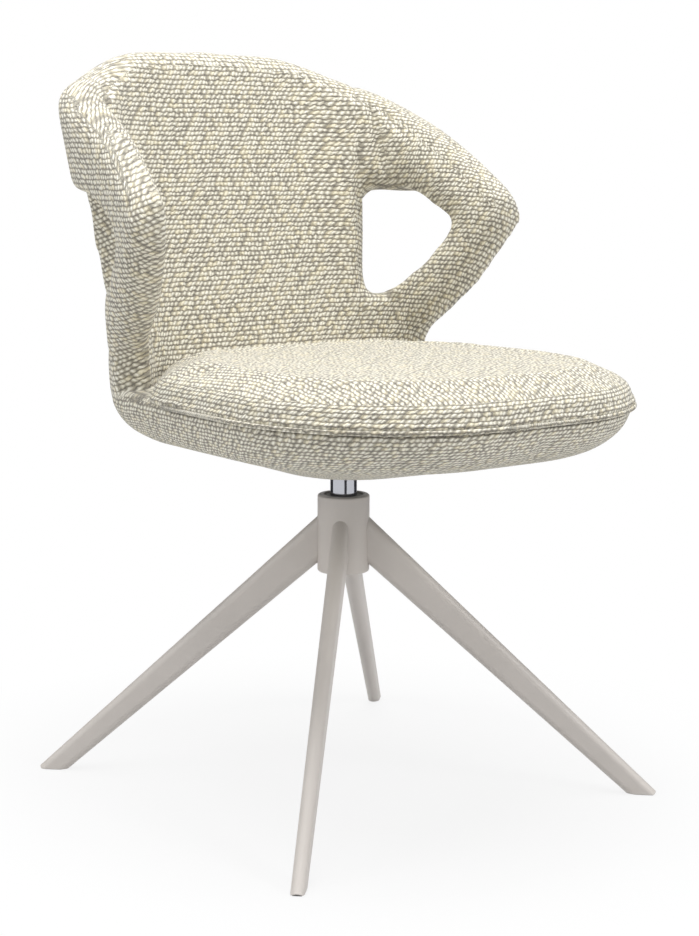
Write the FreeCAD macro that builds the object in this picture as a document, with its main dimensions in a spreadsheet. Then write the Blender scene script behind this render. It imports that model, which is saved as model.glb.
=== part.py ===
import FreeCAD, Part
import math
import os

import Sketcher

# A swivel dining chair: an upholstered shell turning on a hub with splayed tube legs.
# Millimetres; the origin is on the floor under the middle of the chair, the sitter faces -Y and +Z is up.
# The pieces are drawn about the swivel axis and then moved together, as the seat reaches further forward.

SIZES = {
    # how far the swivel axis lies behind the middle of the chair
    "axis_rear": 13.5,
    # hub and its bearing
    "hub_radius": 30.0,
    "hub_bottom": 253.5,
    "hub_height": 90.0,
    "hub_edge_radius": 2.5,
    "hub_bore_radius": 23.0,
    "hub_ledge_height": 300.0,
    "hub_lower_bore_radius": 18.5,
    "rim_step": 1.2,
    "running_gap": 0.05,
    "press_gap": 0.02,
    "ball_radius": 2.5,
    "ball_count": 12.0,
    "race_thickness": 4.0,
    "race_groove": 0.9,
    "groove_half_width": 1.6,
    "cage_thickness": 1.6,
    "cage_gap": 0.4,
    "pocket_gap": 0.15,
    "bush_bottom": 262.0,
    "bush_headroom": 1.0,
    "washer_thickness": 1.5,
    "washer_margin": 0.6,
    "circlip_thickness": 1.2,
    "circlip_depth": 1.4,
    "circlip_reach": 1.8,
    "circlip_opening": 6.0,
    # column and mounting plate
    "column_radius": 15.5,
    "collar_radius": 21.5,
    "collar_height": 4.0,
    "column_end": 256.0,
    "plate_side": 150.0,
    "plate_bottom": 384.0,
    "plate_thickness": 5.0,
    "plate_corner": 12.0,
    "bolt_spacing": 110.0,
    "bolt_radius": 4.0,
    "bolt_head_radius": 6.5,
    "bolt_head_height": 4.4,
    "bolt_clearance": 0.25,
    "nut_flange_radius": 11.0,
    "nut_flange_height": 1.5,
    "nut_barrel_radius": 5.2,
    "nut_barrel_height": 10.0,
    # legs
    "leg_count": 4.0,
    "leg_first_angle": 45.0,
    "leg_hub_height": 289.0,
    "leg_reach": 351.0,
    "leg_root_depth": 42.5,
    "leg_root_width": 19.0,
    "leg_foot_depth": 24.5,
    "leg_foot_width": 15.0,
    "leg_wall": 2.0,
    "leg_overrun": 26.0,
    "weld_gap": 0.1,
    "glide_height": 16.0,
    "glide_proud": 1.0,
    "glide_gap": 0.15,
    # seat board and the bowl that wraps it
    "board_bottom": 412.0,
    "board_thickness": 12.0,
    "board_half_width": 158.0,
    "board_front": 236.0,
    "board_rear": 138.0,
    "board_front_radius": 110.0,
    "board_rear_radius": 60.0,
    "board_gap": 0.3,
    "bowl_bottom": 384.0,
    "bowl_base_half_width": 84.0,
    "bowl_base_front": 100.0,
    "bowl_base_rear": 84.0,
    "bowl_base_radius": 30.0,
    "bowl_half_width": 258.0,
    "bowl_rear_half_width": 236.0,
    "bowl_front": 337.0,
    "bowl_rear": 213.0,
    "bowl_front_radius": 205.0,
    "bowl_rear_radius": 128.0,
    "bowl_tuck": 44.0,
    "bowl_edge_rise": 6.0,
    "bowl_round_height": 450.0,
    "bowl_rim": 26.0,
    "bowl_hollow_height": 448.0,
    "mouth_gap": 2.0,
    "seam_height": 462.0,
    "seam_inset": 5.0,
    "seam_rise": 12.0,
    "piping_radius": 2.6,
    "piping_stand_off": 4.3,
    "piping_drop": 0.5,
    # seat pad
    "pad_rear_half_width": 145.0,
    "pad_waist": 36.0,
    "pad_side_radius": 60.0,
    "pad_rear_radius": 45.0,
    "pad_height": 38.0,
    "pad_crown_inset": 70.0,
    "piping_waist": 8.0,
    # back and arm wall
    "wall_thickness": 46.0,
    "wall_rear": 187.0,
    "wall_straight": 118.0,
    "wall_corner_radius": 95.0,
    "wall_top_round": 20.5,
    "wall_foot_round": 4.0,
    "back_lean": 108.0,
    "corner_lean": 95.0,
    "lean_curve": 1.3,
    "arm_lean": 20.0,
    "back_top": 855.0,
    "corner_top": 848.0,
    "arm_root_top": 763.0,
    "arm_fall": 0.55,
    "arm_sag": 0.0015,
    "arm_splay": 12.0,
    "arm_reach": 150.0,
    "crease_angle": 62.0,
    # arm outline seen from the side, as distance to the rear and height
    "tip_rear": 0.0,
    "tip_low": 645.0,
    "tip_round": 20.0,
    "strut_mid_round": 120.0,
    "strut_foot_round": 30.0,
    "strut_mid_rear": 50.0,
    "strut_mid_low": 567.0,
    "strut_foot_rear": 118.0,
    "strut_foot_low": 505.0,
    "strut_heel_rear": 126.0,
    "hole_top_rear": 138.0,
    "hole_top": 689.0,
    "hole_front": 64.0,
    "hole_front_height": 645.0,
    "hole_low_rear": 105.0,
    "hole_low_height": 595.0,
    "hole_base_rear": 150.0,
    "hole_base": 558.0,
    "hole_heel_height": 546.0,
    "hole_back": 240.0,
    "hole_nose_round": 8.0,
    "hole_side_round": 90.0,
    "hole_base_round": 60.0,
    "tool_round": 1.0,
    # cloth and foam
    "cloth": 1.5,
    "soft_gap": 0.3,
    "least_round": 6.0,
    # steel frame inside the wall
    "back_tube_radius": 8.0,
    "back_tube_spread": 112.0,
    "back_tube_top": 800.0,
    "back_tube_bend": 45.0,
    "back_tube_foot": 40.0,
    "arm_tube_radius": 5.0,
    "arm_tube_bend": 20.0,
    "arm_tube_low_height": 478.0,
    "arm_tube_turn": 150.0,
    "arm_tube_heel": 205.0,
    "arm_tube_heel_height": 510.0,
    "arm_tube_strut": 308.0,
    "arm_tube_strut_height": 592.0,
    "arm_tube_tip": 349.0,
    "arm_tube_tip_height": 656.0,
    "arm_tube_root": 245.0,
    "arm_tube_root_height": 722.0,
    "arm_tube_shoulder": 190.0,
    "arm_tube_shoulder_height": 750.0,
    "arm_tube_end_height": 778.0,
    "tube_gap": 0.3,
    "saddle_length": 20.0,
    "saddle_ear": 14.0,
    "saddle_roof": 4.0,
    "saddle_gap": 0.1,
    "saddle_rear": 70.0,
    "screw_radius": 2.0,
    "screw_head_radius": 4.0,
    "screw_head_height": 2.4,
    "screw_bite": 9.0,
}

document = FreeCAD.newDocument("SwivelDiningChair")
sheet = document.addObject("Spreadsheet::Sheet", "sizes")
for row, (name, value) in enumerate(SIZES.items(), start=1):
    sheet.set(f"A{row}", name)
    sheet.set(f"B{row}", str(value))
    sheet.setAlias(f"B{row}", name)
document.recompute()


def size(name):
    return float(sheet.get(name))


def point(x, y, z):
    return FreeCAD.Vector(x, y, z)


# Shared makers for turned, drawn and soft pieces

def origin_plane(body, role):
    for feature in body.Origin.OriginFeatures:
        if feature.Role == role:
            return feature
    raise ValueError(role)


def new_body(name):
    body = document.addObject("PartDesign::Body", name)
    body.Label = name
    return body


def new_sketch(body, name, role, height="0"):
    sketch = body.newObject("Sketcher::SketchObject", name)
    sketch.AttachmentSupport = [(origin_plane(body, role), "")]
    sketch.MapMode = "FlatFace"
    sketch.setExpression("AttachmentOffset.Base.z", height)
    return sketch


def bind(sketch, constraint, expression):
    index = sketch.addConstraint(constraint)
    sketch.setExpression(f"Constraints[{index}]", expression)


def draw_polygon(sketch, corners):
    """A closed outline whose corners are pairs of expressions."""
    places = [(sketch.evalExpression(x), sketch.evalExpression(y)) for x, y in corners]
    places = [point(float(x), float(y), 0) for x, y in places]
    count = len(places)
    for index in range(count):
        sketch.addGeometry(Part.LineSegment(places[index], places[(index + 1) % count]))
    for index in range(count):
        sketch.addConstraint(Sketcher.Constraint("Coincident", index, 2, (index + 1) % count, 1))
    for index, (x, y) in enumerate(corners):
        along = Sketcher.Constraint("DistanceX", -1, 1, index, 1, places[index].x)
        up = Sketcher.Constraint("DistanceY", -1, 1, index, 1, places[index].y)
        bind(sketch, along, x)
        bind(sketch, up, y)


def turned(name, corners):
    """A piece turned about the swivel axis from corners of radius and height."""
    body = new_body(name)
    sketch = new_sketch(body, name + "_profile", "XZ_Plane")
    draw_polygon(sketch, corners)
    turn = body.newObject("PartDesign::Revolution", name + "_turn")
    turn.Profile = sketch
    turn.ReferenceAxis = (sketch, ["V_Axis"])
    turn.Angle = 360
    document.recompute()
    return body


def draw_circle(sketch, x, y, radius):
    values = [float(sketch.evalExpression(text)) for text in (x, y, radius)]
    circle = Part.Circle(point(values[0], values[1], 0), point(0, 0, 1), values[2])
    index = sketch.addGeometry(circle)
    bind(sketch, Sketcher.Constraint("Radius", index, values[2]), radius)
    bind(sketch, Sketcher.Constraint("DistanceX", -1, 1, index, 3, values[0]), x)
    bind(sketch, Sketcher.Constraint("DistanceY", -1, 1, index, 3, values[1]), y)


def padded(body, sketch, length):
    pad = body.newObject("PartDesign::Pad", sketch.Name + "_pad")
    pad.Profile = sketch
    pad.setExpression("Length", length)
    document.recompute()
    return pad


def pocketed(body, sketch, length):
    """A pocket that runs up, along the sketch's own direction, from its plane."""
    before = body.Shape.Volume
    pocket = body.newObject("PartDesign::Pocket", sketch.Name + "_pocket")
    pocket.Profile = sketch
    pocket.Reversed = True
    pocket.setExpression("Length", length)
    document.recompute()
    if body.Shape.Volume >= before:
        raise ValueError(sketch.Name + " cut nothing")
    return pocket


def rounded(body, name, chosen, radius):
    """Round the edges of the body's last feature that the test picks."""
    base = body.Tip
    edges = [f"Edge{index}" for index, edge in enumerate(base.Shape.Edges, start=1) if chosen(edge)]
    fillet = body.newObject("PartDesign::Fillet", name)
    fillet.Base = (base, edges)
    fillet.setExpression("Radius", radius)
    document.recompute()


def cut(name, base, tool):
    piece = document.addObject("Part::Cut", name)
    piece.Base = base
    piece.Tool = tool
    piece.Label = name
    document.recompute()
    return piece


def common(name, base, tool):
    piece = document.addObject("Part::Common", name)
    piece.Base = base
    piece.Tool = tool
    piece.Label = name
    document.recompute()
    return piece


def fused(name, pieces):
    piece = document.addObject("Part::MultiFuse", name)
    piece.Shapes = pieces
    document.recompute()
    return piece


def grouped(name, pieces):
    group = document.addObject("Part::Compound", name)
    group.Links = pieces
    group.Label = name
    document.recompute()
    return group


def cylinder(name, radius, height, x="0", y="0", z="0"):
    piece = document.addObject("Part::Cylinder", name)
    piece.setExpression("Radius", radius)
    piece.setExpression("Height", height)
    piece.setExpression("Placement.Base.x", x)
    piece.setExpression("Placement.Base.y", y)
    piece.setExpression("Placement.Base.z", z)
    document.recompute()
    return piece


def box(name, length, width, height, x, y, z):
    piece = document.addObject("Part::Box", name)
    piece.setExpression("Length", length)
    piece.setExpression("Width", width)
    piece.setExpression("Height", height)
    piece.setExpression("Placement.Base.x", x)
    piece.setExpression("Placement.Base.y", y)
    piece.setExpression("Placement.Base.z", z)
    document.recompute()
    return piece


def formed(name, shape):
    piece = document.addObject("Part::Feature", name)
    piece.Shape = shape
    piece.Label = name
    return piece


def rounded_wire(corners, radii):
    """A closed wire of lines and arcs through corners, each rounded by its radius."""
    count = len(corners)
    edges = []
    starts = []
    ends = []
    for index, corner in enumerate(corners):
        toward_last = (corners[index - 1] - corner).normalize()
        toward_next = (corners[(index + 1) % count] - corner).normalize()
        half = toward_last.getAngle(toward_next) / 2
        reach = radii[index] / math.tan(half)
        middle = (toward_last + toward_next).normalize()
        depth = radii[index] / math.sin(half) - radii[index]
        starts.append(corner + toward_last * reach)
        ends.append(corner + toward_next * reach)
        edges.append(Part.Arc(starts[-1], corner + middle * depth, ends[-1]).toShape())
    loop = []
    for index in range(count):
        loop.append(edges[index])
        loop.append(Part.LineSegment(ends[index], starts[(index + 1) % count]).toShape())
    return Part.Wire(loop)


def inset_corners(corners, inset):
    """Corners of a flat anticlockwise outline with every side moved in."""
    moved = []
    count = len(corners)
    for index, corner in enumerate(corners):
        before = (corner - corners[index - 1]).normalize()
        after = (corners[(index + 1) % count] - corner).normalize()
        first = point(-before.y, before.x, 0)
        second = point(-after.y, after.x, 0)
        share = inset / (1 + first.dot(second))
        moved.append(corner + (first + second) * share)
    return moved


def mirrored_outline(right_side):
    """An anticlockwise outline from its right half, listed from front to rear."""
    left = [point(-corner.x, corner.y, 0) for corner in reversed(right_side)]
    return right_side + left


def outline_at(corners, radii, inset, height):
    least = size("least_round")
    inner = inset_corners(corners, inset)
    rounds = [max(radius - inset, least) for radius in radii]
    raised = [point(corner.x, corner.y, height) for corner in inner]
    return rounded_wire(raised, rounds)


def stacked(corners, radii, levels):
    """A smooth solid through one outline at several insets and heights."""
    wires = [outline_at(corners, radii, inset, height) for inset, height in levels]
    return Part.makeLoft(wires, True, False)


# The hub: a turned steel sleeve with a bearing ledge inside

def make_hub():
    top = "sizes.hub_bottom + sizes.hub_height"
    body = turned("hub_sleeve", [
        ("sizes.hub_lower_bore_radius", "sizes.hub_bottom"),
        ("sizes.hub_radius", "sizes.hub_bottom"),
        ("sizes.hub_radius", top),
        ("sizes.hub_bore_radius", top),
        ("sizes.hub_bore_radius", "sizes.hub_ledge_height"),
        ("sizes.hub_lower_bore_radius", "sizes.hub_ledge_height"),
    ])
    outer = size("hub_radius")
    rounded(body, "hub_edges", lambda edge: edge.Closed and abs(edge.Curve.Radius - outer) < 0.01,
            "sizes.hub_edge_radius")


# The bearing: two races, a caged ring of balls, two bushes, a washer and a circlip

BALL_CIRCLE = "((sizes.column_radius + sizes.hub_bore_radius) / 2)"
GROOVE_SLOPE = "cos(atan(sizes.race_groove / sizes.groove_half_width))"
BALL_LIFT = f"((sizes.ball_radius + sizes.running_gap) / {GROOVE_SLOPE} - sizes.race_groove)"
LOWER_RACE_TOP = "(sizes.hub_ledge_height + sizes.race_thickness)"
BALL_HEIGHT = f"({LOWER_RACE_TOP} + {BALL_LIFT})"
UPPER_RACE_BOTTOM = f"({BALL_HEIGHT} + {BALL_LIFT})"
COLLAR_BOTTOM = f"({UPPER_RACE_BOTTOM} + sizes.race_thickness)"
COLLAR_TOP = f"({COLLAR_BOTTOM} + sizes.collar_height)"
HUB_TOP = "(sizes.hub_bottom + sizes.hub_height)"
WASHER_BOTTOM = "(sizes.bush_bottom - sizes.running_gap - sizes.washer_thickness)"
CIRCLIP_TOP = f"({WASHER_BOTTOM} - sizes.running_gap)"
CIRCLIP_BOTTOM = f"({CIRCLIP_TOP} - sizes.circlip_thickness)"
GROOVE_FLOOR = "(sizes.column_radius - sizes.circlip_depth)"


def make_races():
    outer = "sizes.hub_bore_radius - sizes.press_gap"
    low = "sizes.hub_ledge_height"
    inner = "sizes.column_radius + sizes.cage_gap"
    turned("lower_race", [
        (inner, low),
        (outer, low),
        (outer, LOWER_RACE_TOP),
        (f"{BALL_CIRCLE} + sizes.groove_half_width", LOWER_RACE_TOP),
        (BALL_CIRCLE, f"{LOWER_RACE_TOP} - sizes.race_groove"),
        (f"{BALL_CIRCLE} - sizes.groove_half_width", LOWER_RACE_TOP),
        (inner, LOWER_RACE_TOP),
    ])
    bore = "sizes.column_radius + sizes.press_gap"
    turned("upper_race", [
        (bore, COLLAR_BOTTOM),
        (bore, UPPER_RACE_BOTTOM),
        (f"{BALL_CIRCLE} - sizes.groove_half_width", UPPER_RACE_BOTTOM),
        (BALL_CIRCLE, f"{UPPER_RACE_BOTTOM} + sizes.race_groove"),
        (f"{BALL_CIRCLE} + sizes.groove_half_width", UPPER_RACE_BOTTOM),
        ("sizes.collar_radius", UPPER_RACE_BOTTOM),
        ("sizes.collar_radius", COLLAR_BOTTOM),
    ])


def make_balls():
    balls = []
    count = int(size("ball_count"))
    for index in range(count):
        ball = document.addObject("Part::Sphere", f"ball_{index + 1}")
        ball.setExpression("Radius", "sizes.ball_radius")
        turn = f"{index} * 360 / sizes.ball_count"
        ball.setExpression("Placement.Base.x", f"{BALL_CIRCLE} * cos({turn})")
        ball.setExpression("Placement.Base.y", f"{BALL_CIRCLE} * sin({turn})")
        ball.setExpression("Placement.Base.z", BALL_HEIGHT)
        balls.append(ball)
    grouped("bearing_balls", balls)


def make_cage():
    half = "sizes.cage_thickness / 2"
    body = turned("ball_cage", [
        ("sizes.column_radius + sizes.cage_gap", f"{BALL_HEIGHT} - {half}"),
        ("sizes.hub_bore_radius - sizes.cage_gap", f"{BALL_HEIGHT} - {half}"),
        ("sizes.hub_bore_radius - sizes.cage_gap", f"{BALL_HEIGHT} + {half}"),
        ("sizes.column_radius + sizes.cage_gap", f"{BALL_HEIGHT} + {half}"),
    ])
    sketch = new_sketch(body, "cage_pocket", "XY_Plane", f"{BALL_HEIGHT} - {half}")
    draw_circle(sketch, BALL_CIRCLE, "0", "sizes.ball_radius + sizes.pocket_gap")
    pocket = pocketed(body, sketch, "sizes.cage_thickness")
    pattern = body.newObject("PartDesign::PolarPattern", "cage_pockets")
    pattern.Originals = [pocket]
    pattern.Axis = (origin_plane(body, "Z_Axis"), [""])
    pattern.Angle = 360
    pattern.setExpression("Occurrences", "sizes.ball_count")
    body.Tip = pattern
    document.recompute()


def make_bushes():
    bore = "sizes.column_radius + sizes.running_gap"
    low_side = "sizes.hub_lower_bore_radius - sizes.press_gap"
    turned("lower_bush", [
        (bore, "sizes.bush_bottom"),
        (low_side, "sizes.bush_bottom"),
        (low_side, "sizes.hub_ledge_height"),
        (bore, "sizes.hub_ledge_height"),
    ])
    high_side = "sizes.hub_bore_radius - sizes.press_gap"
    turned("upper_bush", [
        (bore, f"{COLLAR_TOP} + sizes.bush_headroom"),
        (high_side, f"{COLLAR_TOP} + sizes.bush_headroom"),
        (high_side, f"{HUB_TOP} - sizes.rim_step"),
        (bore, f"{HUB_TOP} - sizes.rim_step"),
    ])


def make_retainers():
    outer = "sizes.hub_lower_bore_radius - sizes.washer_margin"
    bore = "sizes.column_radius + sizes.running_gap"
    turned("retaining_washer", [
        (bore, WASHER_BOTTOM),
        (outer, WASHER_BOTTOM),
        (outer, f"{WASHER_BOTTOM} + sizes.washer_thickness"),
        (bore, f"{WASHER_BOTTOM} + sizes.washer_thickness"),
    ])
    inner = f"{GROOVE_FLOOR} + sizes.press_gap"
    reach = "sizes.column_radius + sizes.circlip_reach"
    ring = turned("circlip_ring", [
        (inner, CIRCLIP_BOTTOM),
        (reach, CIRCLIP_BOTTOM),
        (reach, CIRCLIP_TOP),
        (inner, CIRCLIP_TOP),
    ])
    opening = box(
        "circlip_gap", "2 * sizes.column_radius", "sizes.circlip_opening", "2 * sizes.circlip_thickness",
        "0", "-sizes.circlip_opening / 2", f"{CIRCLIP_BOTTOM} - sizes.circlip_thickness / 2")
    cut("circlip", ring, opening)


def make_column():
    shaft = "sizes.column_radius"
    turned("column", [
        ("0", "sizes.column_end"),
        (shaft, "sizes.column_end"),
        (shaft, f"{CIRCLIP_BOTTOM} - sizes.press_gap"),
        (GROOVE_FLOOR, f"{CIRCLIP_BOTTOM} - sizes.press_gap"),
        (GROOVE_FLOOR, f"{CIRCLIP_TOP} + sizes.press_gap"),
        (shaft, f"{CIRCLIP_TOP} + sizes.press_gap"),
        (shaft, COLLAR_BOTTOM),
        ("sizes.collar_radius", COLLAR_BOTTOM),
        ("sizes.collar_radius", COLLAR_TOP),
        (shaft, COLLAR_TOP),
        (shaft, "sizes.plate_bottom"),
        ("0", "sizes.plate_bottom"),
    ])


# The legs: tapered oval tubes cut to the hub and to the floor, each with an end plug

def oval_sketch(body, name, depth, width, height):
    """A flattened oval: two straight sides and two half rounds."""
    sketch = new_sketch(body, name, "XY_Plane", height)
    radius = float(sketch.evalExpression(f"({width}) / 2"))
    half = float(sketch.evalExpression(f"({depth}) / 2")) - radius
    up = point(0, 0, 1)
    quarter = math.pi / 2
    front = Part.Circle(point(half, 0, 0), up, radius)
    rear = Part.Circle(point(-half, 0, 0), up, radius)
    sketch.addGeometry(Part.LineSegment(point(half, radius, 0), point(-half, radius, 0)))
    sketch.addGeometry(Part.ArcOfCircle(rear, quarter, 3 * quarter))
    sketch.addGeometry(Part.LineSegment(point(-half, -radius, 0), point(half, -radius, 0)))
    sketch.addGeometry(Part.ArcOfCircle(front, -quarter, quarter))
    sketch.addConstraint(Sketcher.Constraint("Tangent", 0, 2, 1, 1))
    sketch.addConstraint(Sketcher.Constraint("Tangent", 1, 2, 2, 1))
    sketch.addConstraint(Sketcher.Constraint("Tangent", 2, 2, 3, 1))
    sketch.addConstraint(Sketcher.Constraint("Tangent", 3, 2, 0, 1))
    sketch.addConstraint(Sketcher.Constraint("Symmetric", 1, 3, 3, 3, -1, 1))
    sketch.addConstraint(Sketcher.Constraint("PointOnObject", 3, 3, -1))
    bind(sketch, Sketcher.Constraint("Radius", 3, radius), f"({width}) / 2")
    along = Sketcher.Constraint("DistanceX", -1, 1, 3, 3, half)
    bind(sketch, along, f"({depth}) / 2 - ({width}) / 2")
    return sketch


def leg_loft(name, inset, place):
    body = new_body(name)
    root_depth = f"sizes.leg_root_depth - 2 * {inset}"
    root_width = f"sizes.leg_root_width - 2 * {inset}"
    root = oval_sketch(body, name + "_root", root_depth, root_width, "0")
    foot_depth = f"sizes.leg_foot_depth - 2 * {inset}"
    foot_width = f"sizes.leg_foot_width - 2 * {inset}"
    beyond = "sqrt(sizes.leg_reach ^ 2 + sizes.leg_hub_height ^ 2) + sizes.leg_overrun"
    foot = oval_sketch(body, name + "_foot", foot_depth, foot_width, beyond)
    loft = body.newObject("PartDesign::AdditiveLoft", name + "_loft")
    loft.Profile = root
    loft.Sections = [foot]
    body.Placement = place
    document.recompute()
    return body


def leg_placement(turn):
    """The leg's own axis runs from beside the swivel axis out and down to the floor."""
    fall = math.degrees(math.atan2(size("leg_hub_height"), size("leg_reach") - size("hub_radius")))
    rise = size("leg_hub_height") + size("hub_radius") * math.tan(math.radians(fall))
    start = FreeCAD.Placement(point(0, 0, rise), FreeCAD.Rotation(point(0, 1, 0), 90 + fall))
    around = FreeCAD.Placement(point(0, 0, 0), FreeCAD.Rotation(point(0, 0, 1), turn))
    return around.multiply(start)


def make_legs():
    hub = cylinder(
        "leg_mitre", "sizes.hub_radius + sizes.weld_gap", f"2 * {HUB_TOP}")
    reach = "(sizes.leg_reach + 4 * sizes.leg_overrun)"
    floor = box("leg_floor", f"2 * {reach}", f"2 * {reach}", "sizes.hub_bottom",
                f"-{reach}", f"-{reach}", "sizes.glide_proud - sizes.hub_bottom")
    ground = box("plug_span", f"2 * {reach}", f"2 * {reach}", "sizes.glide_height",
                 f"-{reach}", f"-{reach}", "0")
    plugs = []
    for index in range(int(size("leg_count"))):
        place = leg_placement(size("leg_first_angle") + index * 360 / size("leg_count"))
        name = f"leg_{index + 1}"
        outer = leg_loft(name + "_outside", "0", place)
        hollow = leg_loft(name + "_hollow", "sizes.leg_wall", place)
        tube = cut(name + "_tube", outer, hollow)
        mitred = cut(name + "_mitred", tube, hub)
        cut(name, mitred, floor)
        plug = leg_loft(name + "_plug", "(sizes.leg_wall + sizes.glide_gap)", place)
        plugs.append(common(name + "_glide", plug, ground))
    grouped("foot_glides", plugs)


# The steel mounting plate, the block above it, the bolts and the tee nuts in the seat board

BLOCK_HEIGHT = "(sizes.board_bottom - sizes.plate_bottom - sizes.plate_thickness)"


def bolt_places():
    half = "sizes.bolt_spacing / 2"
    return [(half, half), (f"-{half}", half), (f"-{half}", f"-{half}"), (half, f"-{half}")]


def square_piece(name, low, height):
    """A square plate or block round the swivel axis with the four bolt holes."""
    body = new_body(name)
    sketch = new_sketch(body, name + "_outline", "XY_Plane", low)
    side = "sizes.plate_side / 2"
    draw_polygon(sketch, [(f"-{side}", f"-{side}"), (side, f"-{side}"), (side, side), (f"-{side}", side)])
    padded(body, sketch, height)
    tall = float(sketch.evalExpression(height))
    rounded(body, name + "_corners", lambda edge: abs(edge.Length - tall) < 0.01, "sizes.plate_corner")
    holes = new_sketch(body, name + "_holes", "XY_Plane", low)
    for x, y in bolt_places():
        draw_circle(holes, x, y, "sizes.bolt_radius + sizes.bolt_clearance")
    pocketed(body, holes, height)


def make_plate():
    square_piece("mounting_plate", "sizes.plate_bottom", "sizes.plate_thickness")
    square_piece("mounting_block", "sizes.plate_bottom + sizes.plate_thickness", BLOCK_HEIGHT)


def make_bolts():
    bolts = []
    nuts = []
    board_top = "(sizes.board_bottom + sizes.board_thickness)"
    for index, (x, y) in enumerate(bolt_places()):
        head = cylinder(f"bolt_head_{index + 1}", "sizes.bolt_head_radius", "sizes.bolt_head_height",
                        x, y, "sizes.plate_bottom - sizes.bolt_head_height")
        shank = cylinder(f"bolt_shank_{index + 1}", "sizes.bolt_radius",
                         "sizes.board_bottom + sizes.board_thickness - sizes.plate_bottom",
                         x, y, "sizes.plate_bottom")
        bolts.append(fused(f"bolt_{index + 1}", [head, shank]))
        flange = cylinder(f"nut_flange_{index + 1}", "sizes.nut_flange_radius", "sizes.nut_flange_height",
                          x, y, board_top)
        barrel = cylinder(f"nut_barrel_{index + 1}", "sizes.nut_barrel_radius",
                          "sizes.nut_barrel_height", x, y, f"{board_top} - sizes.nut_barrel_height")
        bore = cylinder(f"nut_bore_{index + 1}", "sizes.bolt_radius + sizes.press_gap",
                        "2 * sizes.board_thickness", x, y, f"{board_top} - sizes.board_thickness")
        blank = fused(f"nut_blank_{index + 1}", [flange, barrel])
        nuts.append(cut(f"tee_nut_{index + 1}", blank, bore))
    grouped("plate_bolts", bolts)
    grouped("tee_nuts", nuts)


# Seat outlines: the bowl's four corners and the pad's six

def bowl_outline():
    right = [
        point(size("bowl_half_width"), -size("bowl_front"), 0),
        point(size("bowl_rear_half_width"), size("bowl_rear"), 0),
    ]
    front = size("bowl_front_radius")
    rear = size("bowl_rear_radius")
    return mirrored_outline(right), [front, rear, rear, front]


def bowl_side(y):
    share = (y + size("bowl_front")) / (size("bowl_rear") + size("bowl_front"))
    return size("bowl_half_width") + share * (size("bowl_rear_half_width") - size("bowl_half_width"))


def pad_outline():
    rear = size("wall_rear") - size("wall_thickness") / 2 - size("soft_gap")
    right = [
        point(size("bowl_half_width"), -size("bowl_front"), 0),
        point(bowl_side(size("pad_waist")), size("pad_waist"), 0),
        point(size("pad_rear_half_width"), rear, 0),
    ]
    radii = [size("bowl_front_radius"), size("pad_side_radius"), size("pad_rear_radius")]
    return mirrored_outline(right), radii + radii[::-1]


def bowl_base_outline():
    right = [
        point(size("bowl_base_half_width"), -size("bowl_base_front"), 0),
        point(size("bowl_base_half_width"), size("bowl_base_rear"), 0),
    ]
    return mirrored_outline(right), [size("bowl_base_radius")] * 4


def bowl_form(inset, drop):
    """The bowl: a flat base, a dish that opens from it and a side that rounds up to the seam."""
    corners, radii = bowl_outline()
    base_corners, base_radii = bowl_base_outline()
    low = size("bowl_bottom") + inset
    edge = (size("board_bottom") + size("bowl_edge_rise")) + inset
    tuck = size("bowl_tuck")
    base = outline_at(base_corners, base_radii, inset, low)
    rim = outline_at(corners, radii, tuck + inset, edge)
    dish = Part.makeLoft([base, rim], True, True)
    side = []
    for turn in (0, 25, 55, 90):
        angle = math.radians(turn)
        height = size("bowl_round_height") - (size("bowl_round_height") - edge) * math.cos(angle)
        side.append((tuck * (1 - math.sin(angle)) + inset, height))
    side.append((size("seam_inset") + inset, size("seam_height") + drop))
    return dish.fuse(stacked(corners, radii, side)).removeSplitter()


def board_outline():
    right = [
        point(size("board_half_width"), -size("board_front"), 0),
        point(size("board_half_width"), size("board_rear"), 0),
    ]
    front = size("board_front_radius")
    rear = size("board_rear_radius")
    return mirrored_outline(right), [front, rear, rear, front]


def make_board():
    corners, radii = board_outline()
    wire = outline_at(corners, radii, 0, size("board_bottom"))
    blank = formed("board_blank", Part.Face(wire).extrude(point(0, 0, size("board_thickness"))))
    bores = []
    for index, (x, y) in enumerate(bolt_places()):
        bores.append(cylinder(f"board_bore_{index + 1}", "sizes.nut_barrel_radius + sizes.press_gap",
                              "sizes.board_thickness", x, y, "sizes.board_bottom"))
    return cut("bored_board", blank, fused("board_bores", bores))


# The wall of back and arms follows one plan line: straight behind, round the corner, then forward

def wall_place(distance):
    """Foot point, outward direction, lean and top height at a distance along the wall."""
    side = math.copysign(1, distance)
    reach = abs(distance)
    straight = size("wall_straight")
    radius = size("wall_corner_radius")
    full_turn = 90 - size("arm_splay")
    turn = min(max(math.degrees((reach - straight) / radius), 0), full_turn)
    forward = max(reach - straight - radius * math.radians(full_turn), 0)
    angle = math.radians(90 - turn)
    along = min(reach, straight)
    x = along + radius * math.cos(angle) + forward * math.sin(angle)
    y = size("wall_rear") - radius + radius * math.sin(angle) - forward * math.cos(angle)
    middle = 1 - (along / straight) ** 2
    share = 1 - turn / full_turn
    lean = size("arm_lean") + (size("corner_lean") - size("arm_lean")) * share ** size("lean_curve")
    lean += (size("back_lean") - size("corner_lean")) * middle
    top = size("arm_root_top") + (size("corner_top") - size("arm_root_top")) * share
    top += (size("back_top") - size("corner_top")) * middle
    top -= size("arm_fall") * forward + size("arm_sag") * forward ** 2
    outward = point(side * math.cos(angle), math.sin(angle), 0)
    return point(side * x, y, 0), outward, lean, top


def wall_point(distance, height):
    foot, outward, lean, top = wall_place(distance)
    base = size("seam_height") + size("soft_gap")
    centre = foot + outward * (lean * (height - base) / (top - base))
    return point(centre.x, centre.y, height)


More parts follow.
